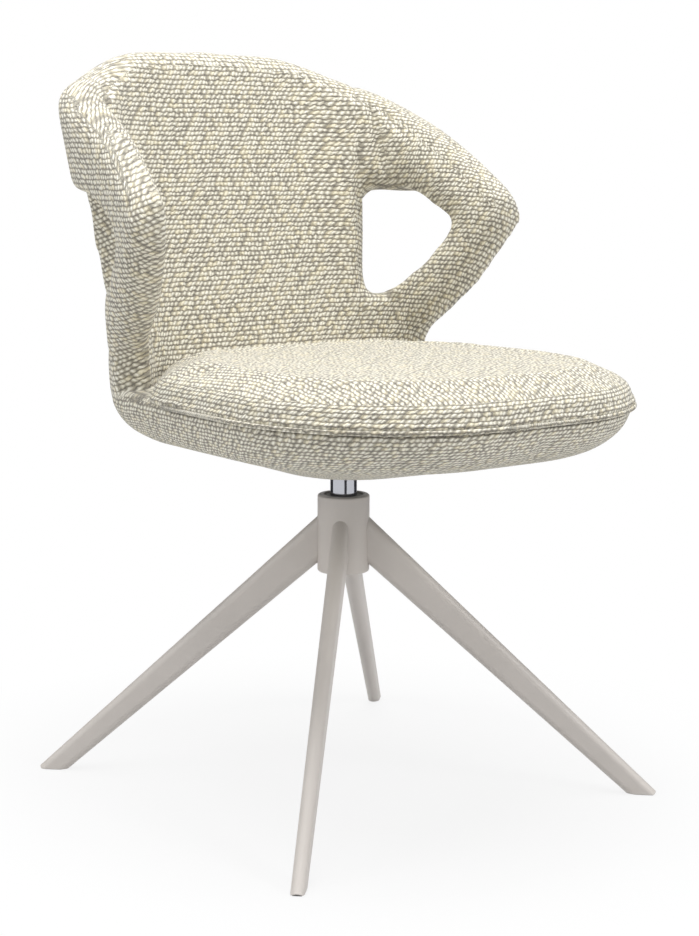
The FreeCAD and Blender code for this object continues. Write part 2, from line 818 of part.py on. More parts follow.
def wall_section(distance, inset, drop):
    """A rounded upright section across the wall."""
    foot, outward, lean, top = wall_place(distance)
    base = size("seam_height") + size("soft_gap")
    half = size("wall_thickness") / 2 - inset
    slope = lean / (top - base)
    low = base - drop
    high = top - inset
    flat = [(-half, low), (half, low), (half, high), (-half, high)]
    corners = []
    for offset, height in flat:
        shift = offset + slope * (height - base)
        spot = foot + outward * shift
        corners.append(point(spot.x, spot.y, height))
    upper = size("wall_top_round") - inset
    lower = size("wall_foot_round")
    return rounded_wire(corners, [lower, lower, upper, upper])


def crease_distance():
    turn = math.radians(90 - size("crease_angle"))
    return size("wall_straight") + size("wall_corner_radius") * turn


def back_form(inset, end_trim, drop):
    straight = size("wall_straight")
    end = crease_distance() - end_trim
    right = [straight / 2, straight, (straight + end) / 2, end]
    stations = [-place for place in reversed(right)] + [0.0] + right
    return Part.makeLoft([wall_section(place, inset, drop) for place in stations], True, False)


def side_prism(corners, radii, grow):
    """A prism across the chair from an outline of rear distances and heights."""
    flat = [point(y, z, 0) for y, z in corners]
    wire = rounded_wire(inset_corners(flat, -grow), radii)
    upright = FreeCAD.Rotation(point(1, 1, 1), 120)
    wire.Placement = FreeCAD.Placement(point(0, 0, 0), upright)
    return Part.Face(wire).extrude(point(2 * size("bowl_half_width"), 0, 0))


def front_cutter(grow):
    """Everything ahead of and below the arm, down to its foot."""
    ahead = -size("bowl_front")
    under = size("seam_height") - 4 * size("seam_rise")
    over = size("back_top")
    tip = size("tip_rear")
    corners = [
        (ahead, under),
        (size("strut_heel_rear"), under),
        (size("strut_foot_rear"), size("strut_foot_low")),
        (size("strut_mid_rear"), size("strut_mid_low")),
        (tip, size("tip_low")),
        (tip, over),
        (ahead, over),
    ]
    small = size("tool_round")
    bends = [size("strut_foot_round"), size("strut_mid_round"), size("tip_round")]
    return side_prism(corners, [small, small] + bends + [small, small], grow)


def hole_cutter(grow):
    """The three-sided opening inside the arm, open towards the back's side."""
    corners = [
        (size("hole_front"), size("hole_front_height")),
        (size("hole_low_rear"), size("hole_low_height")),
        (size("hole_base_rear"), size("hole_base")),
        (size("hole_back"), size("hole_heel_height")),
        (size("hole_back"), size("hole_top")),
        (size("hole_top_rear"), size("hole_top")),
    ]
    small = size("tool_round")
    side = size("hole_side_round")
    radii = [size("hole_nose_round"), side, size("hole_base_round"), small, small, side]
    return side_prism(corners, radii, grow)


def arm_form(inset, start_trim, drop):
    corner_end = size("wall_straight")
    corner_end += size("wall_corner_radius") * math.radians(90 - size("arm_splay"))
    start = crease_distance() + start_trim
    reach = size("arm_reach")
    stations = [start, (start + corner_end) / 2, corner_end]
    stations += [corner_end + share * reach for share in (0.25, 0.5, 0.75, 1.0)]
    form = Part.makeLoft([wall_section(place, inset, drop) for place in stations], True, False)
    return form.cut([front_cutter(inset), hole_cutter(inset)])


def flipped(shape):
    return shape.mirror(point(0, 0, 0), point(1, 0, 0))


# The steel frame: a bent back tube, a bent tube in each arm, and saddles that hold them down

def rounded_path(corners, radius):
    """An open path of straight runs joined by tangent arcs."""
    edges = []
    last = corners[0]
    for index in range(1, len(corners) - 1):
        corner = corners[index]
        back = (corners[index - 1] - corner).normalize()
        ahead = (corners[index + 1] - corner).normalize()
        half = back.getAngle(ahead) / 2
        reach = radius / math.tan(half)
        middle = (back + ahead).normalize()
        depth = radius / math.sin(half) - radius
        edges.append(Part.LineSegment(last, corner + back * reach).toShape())
        last = corner + ahead * reach
        edges.append(Part.Arc(corner + back * reach, corner + middle * depth, last).toShape())
    edges.append(Part.LineSegment(last, corners[-1]).toShape())
    return Part.Wire(edges)


def tube_along(path, radius):
    start = path.Edges[0]
    direction = start.tangentAt(start.FirstParameter)
    ring = Part.makeCircle(radius, start.valueAt(start.FirstParameter), direction)
    return path.makePipeShell([Part.Wire([ring])], True, False)


def board_top():
    return size("board_bottom") + size("board_thickness")


def back_tube_path():
    spread = size("back_tube_spread")
    rest = board_top() + size("back_tube_radius")
    heel = wall_point(spread, rest)
    shoulder = wall_point(spread, size("back_tube_top"))
    left = [point(spread, size("back_tube_foot"), rest), heel, shoulder]
    right = [point(-spot.x, spot.y, spot.z) for spot in reversed(left)]
    return rounded_path(left + right, size("back_tube_bend"))


def arm_tube_path():
    """From the back tube low down, round the corner, up the strut and back along the arm."""
    spread = size("back_tube_spread")
    low = size("arm_tube_low_height")
    corners = [wall_point(spread, low), wall_point(size("arm_tube_turn"), low)]
    for name in ("heel", "strut", "tip", "root", "shoulder"):
        corners.append(wall_point(size(f"arm_tube_{name}"), size(f"arm_tube_{name}_height")))
    corners.append(wall_point(spread, size("arm_tube_end_height")))
    return rounded_path(corners, size("arm_tube_bend"))


def saddle_block(side, grow):
    """A block over one foot of the back tube, grown on every side but its own foot."""
    half = size("back_tube_radius") + size("saddle_ear") + grow
    length = size("saddle_length") + 2 * grow
    block = Part.makeBox(2 * half, length, saddle_height() + grow)
    spread = side * size("back_tube_spread")
    block.translate(point(spread - half, size("saddle_rear") - length / 2, board_top()))
    return block


def saddle_height():
    return 2 * size("back_tube_radius") + size("saddle_roof")


def make_saddles(channel):
    """Two saddles with a pair of countersunk wood screws each."""
    saddles = []
    screws = []
    gap = size("saddle_gap")
    sunk = size("screw_head_height")
    grip = saddle_height() - sunk + size("screw_bite")
    down = point(0, 0, -1)
    for side in (1, -1):
        block = saddle_block(side, 0).cut(channel)
        for ear in (1, -1):
            x = side * size("back_tube_spread") + ear * (size("back_tube_radius") + size("saddle_ear") / 2)
            seat = point(x, size("saddle_rear"), board_top() + saddle_height() - sunk)
            head = Part.makeCylinder(size("screw_head_radius"), sunk, seat)
            shank = Part.makeCylinder(size("screw_radius"), grip, seat, down)
            screws.append(head.fuse(shank).removeSplitter())
            recess = Part.makeCylinder(size("screw_head_radius") + gap, 2 * sunk, seat)
            bore = Part.makeCylinder(size("screw_radius") + gap, grip, seat, down)
            block = block.cut([recess, bore])
        saddles.append(block)
    return saddles, screws


# Soft pieces: foam cores and their cloth covers

def foam_inset():
    return size("cloth") + size("soft_gap")


def pad_form(inset, drop):
    """The seat pad: drawn in at the seam, full at the side and crowned on top."""
    corners, radii = pad_outline()
    foot = size("seam_height") + size("soft_gap")
    height = size("pad_height")
    crown = size("pad_crown_inset")
    levels = [(size("seam_inset") + inset, foot - drop), (inset, foot + size("seam_rise"))]
    for spread, rise in ((0.05, 0.62), (0.18, 0.82), (0.45, 0.95), (1.0, 1.0)):
        levels.append((crown * spread + inset, foot + height * rise - inset))
    return stacked(corners, radii, levels)


def bowl_hollow(gap):
    """The space in the bowl for the board and the core, smaller by the gap."""
    corners, radii = bowl_outline()
    low_corners, low_radii = board_outline()
    side = gap - size("board_gap")
    floor = size("board_bottom") - size("board_gap")
    rim = size("bowl_rim") + gap
    wires = [outline_at(low_corners, low_radii, side, height) for height in (floor, core_floor())]
    wires.append(outline_at(corners, radii, rim, size("bowl_hollow_height") + gap))
    wires.append(outline_at(corners, radii, rim, size("seam_height") + size("soft_gap") - gap))
    return Part.makeLoft(wires, True, True)


def core_floor():
    return board_top() + size("nut_flange_height") + size("soft_gap")


def slab_below(height):
    """A wide block from the floor up, to trim what reaches under a height."""
    reach = 2 * size("bowl_front")
    slab = Part.makeBox(2 * reach, 2 * reach, height)
    slab.translate(point(-reach, -reach, 0))
    return slab


def mouth_box():
    side = size("plate_side") + 2 * size("mouth_gap")
    block = Part.makeBox(side, side, size("board_bottom") + size("seam_rise") - size("bowl_bottom"))
    block.translate(point(-side / 2, -side / 2, size("bowl_bottom") - size("seam_rise")))
    return block


def make_seat(channels, room):
    mouth = mouth_box()
    drop = size("cloth")
    foot = size("seam_height")
    formed("bowl_cover", bowl_form(0, 0).cut([bowl_form(size("cloth"), drop), mouth]))
    over = slab_below(size("pad_height")).translated(point(0, 0, foot))
    inside = bowl_form(foam_inset(), drop).cut([over, mouth, bowl_hollow(0)] + channels)
    formed("bowl_foam", inside)
    core = bowl_hollow(size("soft_gap"))
    formed("seat_core_foam", core.cut([slab_below(core_floor())] + channels + room))
    under = slab_below(foot + size("soft_gap"))
    formed("seat_pad_foam", pad_form(foam_inset(), drop).cut(under))
    formed("seat_pad_cover", pad_form(0, drop).cut([pad_form(size("cloth"), drop), under]))


def make_piping():
    """The cord in the seam between pad and bowl, from arm to arm round the front."""
    corners, radii = bowl_outline()
    inset = size("seam_inset") - size("piping_stand_off")
    ring = inset_corners(corners, inset)
    height = size("seam_height") - size("piping_drop")
    waist = size("piping_waist")
    side = bowl_side(waist) - inset
    path = [point(side, waist, height)]
    path.append(point(ring[0].x, ring[0].y, height))
    path.append(point(ring[-1].x, ring[-1].y, height))
    path.append(point(-side, waist, height))
    bend = size("bowl_front_radius") - inset
    formed("seat_piping", tube_along(rounded_path(path, bend), size("piping_radius")))


def make_wall(channels):
    cloth = size("cloth")
    drop = size("seam_rise")
    gap = size("soft_gap")
    formed("back_cover", back_form(0, 0, 0).cut([back_form(cloth, cloth, drop)] + channels))
    formed("back_foam", back_form(foam_inset(), foam_inset(), 0).cut(channels))
    cover = arm_form(0, gap, 0).cut(arm_form(cloth, -gap, drop))
    foam = arm_form(foam_inset(), gap, 0).cut(channels)
    formed("arm_left_cover", cover)
    formed("arm_right_cover", flipped(cover))
    formed("arm_left_foam", foam)
    formed("arm_right_foam", flipped(foam))


make_hub()
make_races()
make_balls()
make_cage()
make_bushes()
make_retainers()
make_column()
make_legs()
make_plate()
make_bolts()
bored_board = make_board()

back_path = back_tube_path()
arm_path = arm_tube_path()
formed("back_frame", tube_along(back_path, size("back_tube_radius")))
coped_ends = tube_along(back_path, size("back_tube_radius") + size("weld_gap"))
arm_tube = tube_along(arm_path, size("arm_tube_radius")).cut(coped_ends)
formed("arm_frame_left", arm_tube)
formed("arm_frame_right", flipped(arm_tube))
back_channel = tube_along(back_path, size("back_tube_radius") + size("tube_gap"))
arm_channel = tube_along(arm_path, size("arm_tube_radius") + size("tube_gap"))
channels = [back_channel, arm_channel, flipped(arm_channel)]
saddles, screws = make_saddles(back_channel)
room = [saddle_block(side, size("soft_gap")) for side in (1, -1)]
formed("frame_saddles", Part.makeCompound(saddles))
formed("saddle_screws", Part.makeCompound(screws))
formed("seat_board", bored_board.Shape.cut(screws))

make_seat(channels, room)
make_piping()
make_wall(channels)
document.recompute()

NODES = {}
for name in (
    "hub_sleeve", "lower_race", "bearing_balls", "ball_cage", "lower_bush", "upper_bush", "foot_glides",
    "upper_race", "column", "retaining_washer", "circlip",
    "mounting_plate", "mounting_block", "plate_bolts", "tee_nuts", "seat_board",
    "back_frame", "arm_frame_left", "arm_frame_right", "frame_saddles", "saddle_screws",
    "bowl_cover", "bowl_foam", "seat_core_foam", "seat_pad_foam", "seat_pad_cover", "seat_piping",
    "back_cover", "back_foam", "arm_left_cover", "arm_right_cover", "arm_left_foam", "arm_right_foam",
):
    NODES[name] = document.getObject(name)
for index in range(int(size("leg_count"))):
    NODES[f"leg_{index + 1}"] = document.getObject(f"leg_{index + 1}")

rearward = FreeCAD.Placement(point(0, size("axis_rear"), 0), FreeCAD.Rotation())
for item in NODES.values():
    item.Placement = rearward.multiply(item.Placement)
document.recompute()

for item in document.Objects:
    if "Invalid" in item.State or "Error" in item.State:
        raise ValueError(f"{item.Label} failed")

os.makedirs("parts", exist_ok=True)
for name, item in NODES.items():
    shape = item.Shape
    if shape.isNull() or not shape.isValid():
        raise ValueError(f"{name} is not a valid shape")
    shape.exportStep(f"parts/{name}.step")
    print(f"{name:18} solids {len(shape.Solids):3} volume {shape.Volume / 1000:10.2f} cm3")
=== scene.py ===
import bmesh
import bpy
import math
import numpy as np
from mathutils import Matrix, Vector
from mathutils.kdtree import KDTree


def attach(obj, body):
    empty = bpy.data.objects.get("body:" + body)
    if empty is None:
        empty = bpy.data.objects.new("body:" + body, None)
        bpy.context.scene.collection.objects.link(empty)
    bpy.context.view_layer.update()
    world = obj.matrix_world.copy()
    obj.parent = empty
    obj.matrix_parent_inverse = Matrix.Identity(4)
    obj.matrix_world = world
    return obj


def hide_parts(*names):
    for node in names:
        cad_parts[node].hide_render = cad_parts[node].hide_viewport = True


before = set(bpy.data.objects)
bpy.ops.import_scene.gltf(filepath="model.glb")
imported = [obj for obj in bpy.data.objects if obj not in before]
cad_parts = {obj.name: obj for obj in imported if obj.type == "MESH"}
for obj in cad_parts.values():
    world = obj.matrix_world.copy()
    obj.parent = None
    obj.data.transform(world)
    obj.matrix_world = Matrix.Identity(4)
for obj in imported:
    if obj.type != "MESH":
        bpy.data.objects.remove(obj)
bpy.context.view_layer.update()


# Hub and legs: a turned sleeve with four flattened, tapered tubes welded to it and cut flat
# at the floor. Steel, powder coated together in a warm light grey with a fine pebbled skin.

class Wire:
    """A value in a tree of nodes; sums and products of wires add their own nodes."""

    def __init__(self, nodes, socket):
        self.nodes = nodes
        self.socket = socket

    def math(self, operation, *others):
        return self.nodes.node("ShaderNodeMath", {"operation": operation}, [self, *others])

    def __add__(self, other):
        return self.math("ADD", other)

    def __mul__(self, other):
        return self.math("MULTIPLY", other)

    def __sub__(self, other):
        return self.math("SUBTRACT", other)

    def __pow__(self, other):
        return self.math("POWER", other)

    def __rsub__(self, other):
        return self.nodes.node("ShaderNodeMath", {"operation": "SUBTRACT"}, [other, self])

    __radd__ = __add__
    __rmul__ = __mul__

    def kept_in(self, low, high):
        return self.math("MAXIMUM", low).math("MINIMUM", high)


class Nodes:
    """A tree of nodes, with a method that adds any kind of node to it."""

    def __init__(self, tree):
        self.tree = tree

    def node(self, kind, settings, inputs, output=0):
        made = self.tree.nodes.new(kind)
        for key, value in settings.items():
            if key == "stops":
                ramp = made.color_ramp
                while len(ramp.elements) < len(value):
                    ramp.elements.new(0.5)
                for stop, (place, colour) in zip(ramp.elements, value):
                    stop.position = place
                    stop.color = (*colour, 1)
            else:
                setattr(made, key, value)
        named = inputs.items() if isinstance(inputs, dict) else enumerate(inputs)
        for socket, value in named:
            if isinstance(value, Wire):
                self.tree.links.new(value.socket, made.inputs[socket])
            else:
                made.inputs[socket].default_value = value
        return Wire(self, made.outputs[output])

    def any_ray(self, *kinds):
        """1 where a ray is of any of the kinds, and 0 elsewhere."""
        rays = [self.node("ShaderNodeLightPath", {}, {}, f"Is {kind} Ray") for kind in kinds]
        seen = rays[0]
        for ray in rays[1:]:
            seen = seen.math("MAXIMUM", ray)
        return seen


class Finish(Nodes):
    """One material: its shader, and the nodes that feed it."""

    def __init__(self, name, sockets=()):
        self.material = bpy.data.materials.new(name)
        self.material.use_nodes = True
        super().__init__(self.material.node_tree)
        self.shader = self.tree.nodes["Principled BSDF"]
        for socket, value in dict(sockets).items():
            self.shader.inputs[socket].default_value = value

    def place(self):
        return self.node("ShaderNodeTexCoord", {}, {}, "Object")

    def noise(self, where, scale, detail=2.0):
        inputs = {"Vector": where, "Scale": scale, "Detail": detail}
        return self.node("ShaderNodeTexNoise", {}, inputs, "Fac")

    def stretched(self, where, x, y, z):
        return self.node("ShaderNodeMapping", {}, {"Vector": where, "Scale": (x, y, z)})

    def split(self, vector, axis):
        return self.node("ShaderNodeSeparateXYZ", {}, [vector], axis)

    def colours(self, factor, stops):
        return self.node("ShaderNodeValToRGB", {"stops": stops}, {"Fac": factor}, "Color")

    def mixed(self, factor, first, second, way="MIX"):
        settings = {"data_type": "RGBA", "blend_type": way}
        return self.node("ShaderNodeMix", settings, {0: factor, 6: first, 7: second}, 2)

    def feeds(self, socket, wire):
        self.tree.links.new(wire.socket, self.shader.inputs[socket])

    def bumps(self, height, distance, strength=1.0):
        inputs = {"Height": height, "Distance": distance, "Strength": strength}
        self.feeds("Normal", self.node("ShaderNodeBump", {}, inputs, "Normal"))


def dress(finish, *names):
    """Give CAD nodes a finish in place of their plain one."""
    for name in names:
        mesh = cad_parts[name].data
        mesh.materials.clear()
        mesh.materials.append(finish.material)


powder_coat = Finish("grey_powder_coat")
spot = powder_coat.place()
cloudy = powder_coat.noise(spot, 9.0, 3.0)
pebbles = powder_coat.noise(spot, 1500.0, 1.0)
waves = powder_coat.noise(spot, 160.0, 2.0)
tone = powder_coat.colours(cloudy, [(0.3, (0.57, 0.528, 0.49)), (0.7, (0.62, 0.576, 0.538))])
speckled = powder_coat.mixed((pebbles - 0.5) * 0.35 + 0.2, tone, (0.47, 0.435, 0.4, 1))
powder_coat.feeds("Base Color", speckled)
powder_coat.feeds("Roughness", 0.36 + cloudy * 0.12 + pebbles * 0.06)
powder_coat.bumps(pebbles * 0.6 + waves * 0.4, 0.00012, 0.55)
dress(powder_coat, "hub_sleeve", "leg_1", "leg_2", "leg_3", "leg_4")


# Column: a drawn bar, ground and plated, that turns in the hub and carries the seat.
# Bright polished chrome with the faint rings that grinding leaves round it.

def plated_metal(name, colour, dull, roughness, rings):
    """A bare or plated metal, with fine lines round the swivel axis and soft staining."""
    metal = Finish(name, {"Metallic": 1.0})
    spot = metal.place()
    lines = metal.noise(metal.stretched(spot, 30, 30, rings), 12.0, 3.0)
    stain = metal.noise(spot, 55.0, 3.0)
    metal.feeds("Base Color", metal.mixed(stain * 0.5, (*colour, 1), (*dull, 1)))
    metal.feeds("Roughness", roughness + lines * roughness * 0.7 + stain * 0.04)
    metal.bumps(lines, 0.00005, 0.35)
    return metal


chrome = plated_metal("polished_chrome", (0.52, 0.53, 0.57), (0.42, 0.43, 0.47), 0.05, 240)
dress(chrome, "column")


# Bearing, bushes and retainers: hardened races and balls in a stamped brass cage, two moulded
# guides pressed into the hub, and the washer and spring ring that keep the column in.

ball_steel = plated_metal("ground_bearing_steel", (0.62, 0.62, 0.63), (0.5, 0.5, 0.52), 0.14, 300)
cage_brass = plated_metal("stamped_brass", (0.78, 0.6, 0.28), (0.55, 0.4, 0.18), 0.28, 120)
dress(ball_steel, "lower_race", "upper_race", "bearing_balls", "retaining_washer", "circlip")
dress(cage_brass, "ball_cage")


def moulded_nylon(name, dark, light):
    """Moulded plastic with a fine spark-eroded grain and a faint bloom."""
    nylon = Finish(name, {"Specular IOR Level": 0.4})
    spot = nylon.place()
    grain = nylon.noise(spot, 900.0, 2.0)
    bloom = nylon.noise(spot, 30.0, 3.0)
    nylon.feeds("Base Color", nylon.colours(bloom, [(0.3, dark), (0.75, light)]))
    nylon.feeds("Roughness", 0.42 + grain * 0.25)
    nylon.bumps(grain, 0.00008, 0.5)
    return nylon


black_nylon = moulded_nylon("moulded_black_nylon", (0.02, 0.02, 0.021), (0.045, 0.044, 0.043))
grey_nylon = moulded_nylon("moulded_grey_nylon", (0.3, 0.28, 0.26), (0.36, 0.335, 0.31))
dress(black_nylon, "lower_bush", "foot_glides", "frame_saddles")
dress(grey_nylon, "upper_bush")


# Seat board, block, plate, rods and fasteners: a birch plywood board with a solid block under
# it, a primed steel plate bolted through both, and the bent rods that stiffen back and arms.

PLIES_PER_METRE = 833.0
plywood = Finish("birch_plywood")
spot = plywood.place()
plies = (plywood.split(spot, "Z") * PLIES_PER_METRE).math("FRACT").math("GREATER_THAN", 0.5)
streaks = plywood.noise(plywood.stretched(spot, 6, 90, 90), 6.0, 4.0)
pale = plywood.colours(streaks, [(0.25, (0.5, 0.36, 0.2)), (0.7, (0.66, 0.5, 0.32))])
plywood.feeds("Base Color", plywood.mixed(plies * 0.35, pale, (0.38, 0.25, 0.13, 1)))
plywood.feeds("Roughness", 0.62 + streaks * 0.2)
plywood.bumps(streaks, 0.0003, 0.5)
dress(plywood, "seat_board", "mounting_block")

primer = Finish("black_primer")
spot = primer.place()
mist = primer.noise(spot, 700.0, 2.0)
rubs = primer.noise(spot, 25.0, 4.0)
rubbed = primer.colours(rubs, [(0.35, (0.022, 0.022, 0.023)), (0.8, (0.055, 0.054, 0.052))])
primer.feeds("Base Color", rubbed)
primer.feeds("Roughness", 0.45 + mist * 0.2)
primer.bumps(mist, 0.00015, 0.5)
dress(primer, "mounting_plate", "back_frame", "arm_frame_left", "arm_frame_right")

zinc = plated_metal("zinc_plate", (0.6, 0.61, 0.62), (0.46, 0.47, 0.49), 0.3, 60)
dress(zinc, "plate_bolts", "tee_nuts", "saddle_screws")


# The upholstered shell: bowl, back and arms, foam on the board and the rods, drawn over with a
# thick looped cloth in cream. It is swollen as one skin, then parted where the covers are sewn.

# The axis the seat turns on, the middle of the seat, and the level where pad and bowl are sewn.
AXIS_REAR = 0.0135
MIDDLE = -0.0465
SEAM_HEIGHT = 0.4624

# Back and arms are one wall: straight behind the sitter, round a corner, and splayed at each side.
WALL_REAR = 0.2005
WALL_STRAIGHT = 0.118
WALL_CORNER = 0.095
WALL_SPLAY = math.radians(12)
WALL_TURN = math.pi / 2 - WALL_SPLAY
WALL_HALF = 0.023
CREST_ROUND = 0.0205
LEAN_AT_SIDE = 0.02
LEAN_BEHIND = 0.075
LEAN_FALL = 1.3
LEAN_IN_MIDDLE = 0.013
ARM_TOP = 0.763
BACK_RISE = 0.085
MIDDLE_RISE = 0.007
ARM_SLOPE = 0.55
ARM_BEND = 1.5
CORNER_CENTRE = np.array([WALL_STRAIGHT, WALL_REAR - WALL_CORNER])

VOXEL = 0.005
SWELL_FRAMES = 20


def joined_skins(grown):
    """One mesh of several CAD nodes, each merged and grown by its own amount."""
    skin = bmesh.new()
    for name, amount in grown.items():
        piece = bmesh.new()
        piece.from_mesh(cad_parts[name].data)
        bmesh.ops.remove_doubles(piece, verts=piece.verts, dist=1e-5)
        piece.normal_update()
        for vert in piece.verts:
            vert.co += vert.normal * amount
        part = bpy.data.meshes.new(name)
        piece.to_mesh(part)
        piece.free()
        skin.from_mesh(part)
        bpy.data.meshes.remove(part)
    return skin


def finished(obj):
    """Put the object's modifiers into its mesh."""
    bpy.context.view_layer.update()
    seen = obj.evaluated_get(bpy.context.evaluated_depsgraph_get())
    mesh = bpy.data.meshes.new_from_object(seen)
    obj.modifiers.clear()
    obj.data = mesh


def piece_from(name, skin):
    """A new object with the skin as its mesh."""
    mesh = bpy.data.meshes.new(name)
    skin.to_mesh(mesh)
    skin.free()
    obj = bpy.data.objects.new(name, mesh)
    bpy.context.scene.collection.objects.link(obj)
    return obj


def outer_skin(grown):
    """CAD nodes as one evenly meshed skin, without what is inside it."""
    obj = piece_from("evened", joined_skins(grown))
    remesh = obj.modifiers.new("even", "REMESH")
    remesh.mode = "VOXEL"
    remesh.voxel_size = VOXEL
    finished(obj)
    skin = bmesh.new()
    skin.from_mesh(obj.data)
    bpy.data.objects.remove(obj)
    left = set(skin.verts)
    islands = []
    while left:
        island = {left.pop()}
        edge = list(island)
        while edge:
            vert = edge.pop()
            for link in vert.link_edges:
                other = link.other_vert(vert)
                if other in left:
                    left.discard(other)
                    island.add(other)
                    edge.append(other)
        islands.append(island)
    islands.sort(key=len)
    inner = [vert for island in islands[:-1] for vert in island]
    bmesh.ops.delete(skin, geom=inner, context="VERTS")
    return skin


def relax(skin, times, chosen):
    """Even out the chosen vertices."""
    verts = list(chosen)
    for _ in range(times):
        bmesh.ops.smooth_vert(
            skin, verts=verts, factor=0.5, use_axis_x=True, use_axis_y=True, use_axis_z=True)


def cut_edges(skin, angle, reach):
    """The vertices within reach of a sharp turn in the skin."""
    skin.normal_update()
    sharp = [vert for vert in skin.verts if any(
        vert.normal.angle(edge.other_vert(vert).normal) > angle for edge in vert.link_edges)]
    tree = KDTree(len(sharp))
    for index, vert in enumerate(sharp):
        tree.insert(vert.co, index)
    tree.balance()
    return {vert for vert in skin.verts if tree.find(vert.co)[2] < reach}


def swell(obj, pressure, most, held):
    """Blow a closed skin up as stretched cloth over foam, moving no point further than the most."""
    before = np.array([vert.co for vert in obj.data.vertices])
    group = obj.vertex_groups.new(name="held")
    group.add([vert.index for vert in obj.data.vertices if held(vert.co)], 1.0, "REPLACE")
    cloth = obj.modifiers.new("swell", "CLOTH")
    cloth.settings.vertex_group_mass = "held"
    cloth.settings.use_pressure = True
    cloth.settings.uniform_pressure_force = pressure
    cloth.settings.effector_weights.gravity = 0
    cloth.collision_settings.use_collision = False
    cloth.point_cache.frame_start = 1
    cloth.point_cache.frame_end = SWELL_FRAMES
    for number in range(1, SWELL_FRAMES + 1):
        bpy.context.scene.frame_set(number)
    finished(obj)
    after = np.array([vert.co for vert in obj.data.vertices])
    moved = after - before
    length = np.linalg.norm(moved, axis=1, keepdims=True)
    kept = before + moved * np.minimum(1, most / np.maximum(length, 1e-9))
    obj.data.vertices.foreach_set("co", kept.astype(np.float32).ravel())
    bpy.context.scene.frame_set(1)


def subdivided(obj):
    """Put one level of smooth subdivision into the object's mesh."""
    smooth = obj.modifiers.new("smooth", "SUBSURF")
    smooth.levels = 1
    smooth.render_levels = 1
    finished(obj)


def wall_places(points):
    """Side, distance along the wall, and distance out from its middle line at the foot."""
    side = np.sign(points[:, 0])
    flat = np.stack([np.abs(points[:, 0]), points[:, 1]], axis=1) - CORNER_CENTRE
    turn = np.arctan2(flat[:, 0], flat[:, 1])
    ahead = flat @ np.array([math.sin(WALL_SPLAY), -math.cos(WALL_SPLAY)])
    beside = flat @ np.array([math.cos(WALL_SPLAY), math.sin(WALL_SPLAY)]) - WALL_CORNER
    distance = WALL_STRAIGHT + WALL_CORNER * np.clip(turn, 0, WALL_TURN)
    out = np.hypot(flat[:, 0], flat[:, 1]) - WALL_CORNER
    behind = (flat[:, 0] <= 0) & (flat[:, 1] > 0)
    distance = np.where(behind, flat[:, 0] + WALL_STRAIGHT, distance)
    out = np.where(behind, flat[:, 1] - WALL_CORNER, out)
    forward = (flat[:, 0] > 0) & (turn > WALL_TURN)
    distance = np.where(forward, WALL_STRAIGHT + WALL_CORNER * WALL_TURN + ahead, distance)
    out = np.where(forward, beside, out)
    return side, distance, out


def wall_tops(distance, turn):
    """How far the wall leans out at its top, and how high that is."""
    ahead = np.maximum(distance - WALL_STRAIGHT - WALL_CORNER * WALL_TURN, 0)
    middle = 1 - (np.minimum(distance, WALL_STRAIGHT) / WALL_STRAIGHT) ** 2
    share = 1 - turn / WALL_TURN
    lean = LEAN_AT_SIDE + LEAN_BEHIND * share ** LEAN_FALL + LEAN_IN_MIDDLE * middle
    crest = ARM_TOP + BACK_RISE * share + MIDDLE_RISE * middle
    top = crest - ARM_SLOPE * ahead - ARM_BEND * ahead ** 2
    return lean, top


def on_wall(points):
    """Side, distance along the wall, its turn there, distance across it, and its top's height."""
    side, distance, out = wall_places(points)
    turn = np.clip((distance - WALL_STRAIGHT) / WALL_CORNER, 0, WALL_TURN)
    lean, top = wall_tops(distance, turn)
    across = out - lean * (points[:, 2] - SEAM_HEIGHT) / (top - SEAM_HEIGHT)
    return side, distance, turn, across, top


def eased(values, low, high):
    """0 up to the low value, 1 from the high one, and a smooth rise between."""
    share = np.clip((values - low) / (high - low), 0, 1)
    return share * share * (3 - 2 * share)


def hump(values, middle, spread):
    """1 at the middle value, and fading to each side."""
    return np.exp(-((values - middle) / spread) ** 2)


# How the cloth settles: the shoulder where back and arms meet stands out, the arm's foot draws
# in, the lip behind each opening is pulled forward, and the dish is drawn in towards its mouth.
SHOULDER_MOST = 0.0095
SHOULDER_DISTANCE = 0.195
SHOULDER_SPREAD = 0.07
SHOULDER_LOW = 0.53
SHOULDER_FULL = 0.6
WAIST_MOST = 0.005
WAIST_HEIGHT = 0.525
WAIST_RISE = 0.028
WAIST_DISTANCE = 0.215
WAIST_SPREAD = 0.04
LIP_MOST = 0.015
LIP_DISTANCE = 0.17
LIP_SPREAD = 0.02
LIP_LOW = 0.545
LIP_FULL = 0.57
LIP_FADES = 0.675
LIP_TOP = 0.7
BELLY_DEPTH = 0.078
BELLY_DRAW = 0.115
BELLY_DRAW_ENDS = 0.65
BELLY_BACK = 0.026
BELLY_SAG = 0.009
SAG_STARTS = 0.1
SAG_FULL = 0.17


